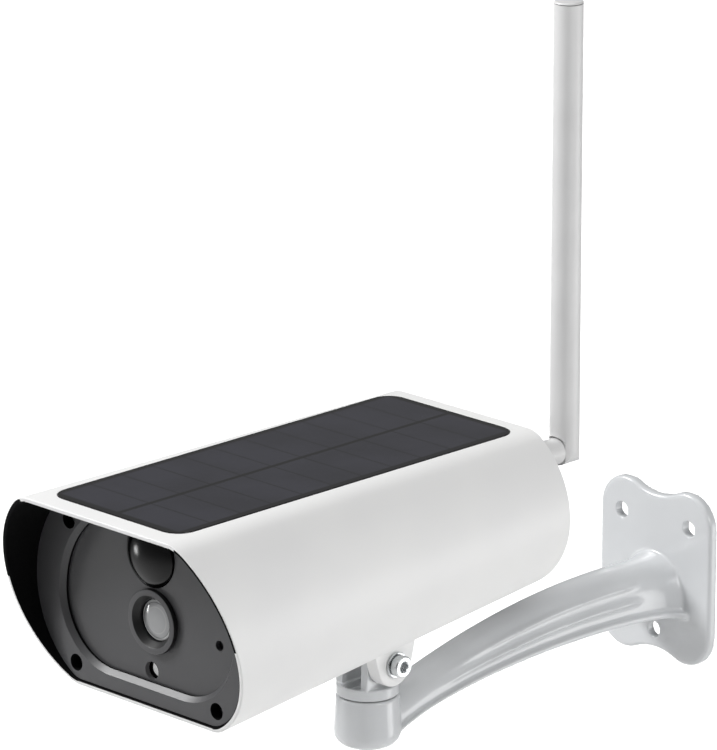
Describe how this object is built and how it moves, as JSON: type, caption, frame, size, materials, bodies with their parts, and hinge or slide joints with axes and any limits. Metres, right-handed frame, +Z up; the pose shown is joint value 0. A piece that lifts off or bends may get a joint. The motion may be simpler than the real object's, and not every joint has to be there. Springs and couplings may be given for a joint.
{
  "type": "security camera",
  "caption": "Outdoor security camera with a tapered hooded housing, solar panel roof, folding antenna and a wall arm with pan and tilt joints.",
  "frame": {"origin": "centre of the wall plate's back face", "axes": "+Y goes into the wall, so the lens looks along -Y; +Z up; +X to the right as seen from the front"},
  "size_m": [0.1258, 0.311, 0.297],
  "materials": {
    "painted_casting": "light grey-white gloss powder coat on a die casting",
    "white_housing": "white satin paint on drawn aluminium",
    "white_plastic": "white moulded plastic, satin",
    "smoked_plastic": "dark grey moulded plastic, satin",
    "black_dome": "black polished dome that passes infrared",
    "black_plastic": "black moulded plastic, matt",
    "black_rubber": "black silicone rubber",
    "black_screw": "black oxide on steel",
    "zinc_steel": "bright zinc plate",
    "brass": "plain drawn wire",
    "solar_cells": "dark slate cells under a clear cover",
    "lens_glass": "coated lens glass",
    "light_guide": "frosted clear plastic",
    "circuit_board": "green solder mask",
    "battery_cell": null
  },
  "bodies": {
    "bracket": {"wall_bracket": "painted_casting"},
    "swivel": {"swivel_clevis": "painted_casting", "swivel_washer": "zinc_steel", "swivel_screw": "zinc_steel"},
    "head": {"mount_foot": "white_housing", "tilt_washer_right": "zinc_steel", "tilt_washer_left": "zinc_steel", "tilt_bolt": "zinc_steel", "tilt_nut": "zinc_steel", "housing_shell": "white_housing", "solar_glass": "solar_cells", "solar_backsheet": "black_plastic", "foot_screw_front": "zinc_steel", "foot_screw_rear": "zinc_steel", "front_bezel": "smoked_plastic", "front_window": "smoked_plastic", "front_gasket": "black_rubber", "front_screw_1": "black_screw", "front_screw_2": "black_screw", "front_screw_3": "black_screw", "front_screw_4": "black_screw", "pir_lens": "black_dome", "pir_sensor": "zinc_steel", "lens_ring": "smoked_plastic", "lens_glass": "lens_glass", "lens_barrel": "black_plastic", "lens_mount": "black_plastic", "image_sensor": "black_plastic", "status_light_guide": "light_guide", "microphone": "black_rubber", "sensor_board": "circuit_board", "inner_chassis": "black_plastic", "battery_cell_1": "battery_cell", "battery_cell_2": "battery_cell", "battery_cell_3": "battery_cell", "battery_cell_4": "battery_cell", "main_board": "circuit_board", "wifi_module": "zinc_steel", "memory_card_slot": "zinc_steel", "charging_port": "zinc_steel", "speaker": "black_plastic", "rear_cover": "smoked_plastic", "rear_screw_1": "black_screw", "rear_screw_2": "black_screw", "rear_screw_3": "black_screw", "rear_screw_4": "black_screw", "port_plug": "black_rubber", "antenna_stub": "white_plastic"},
    "button": {"power_button": "black_rubber"},
    "antenna": {"antenna_sleeve": "white_plastic", "antenna_cap": "white_plastic", "antenna_element": "brass", "antenna_pivot_screw": "black_screw"}
  },
  "joints": [
    {"name": "bracket_pan", "type": "hinge", "parent": "bracket", "child": "swivel", "pos_m": [0, -0.169, 0], "axis": [0, 0, 1], "range_deg": [-60, 60]},
    {"name": "head_tilt", "type": "hinge", "parent": "swivel", "child": "head", "pos_m": [0, -0.169, 0.0052], "axis": [1, 0, 0], "range_deg": [-15, 60]},
    {"name": "antenna_swing", "type": "hinge", "parent": "head", "child": "antenna", "pos_m": [0.0385, -0.104, 0.0824], "axis": [0, 1, 0], "range_deg": [-90, 90]},
    {"name": "power_button_press", "type": "slide", "parent": "head", "child": "button", "axis": [0, -1, 0], "range_m": [0, 0.0008], "stiffness_N_per_m": 1500, "springref_m": -0.0006}
  ]
}
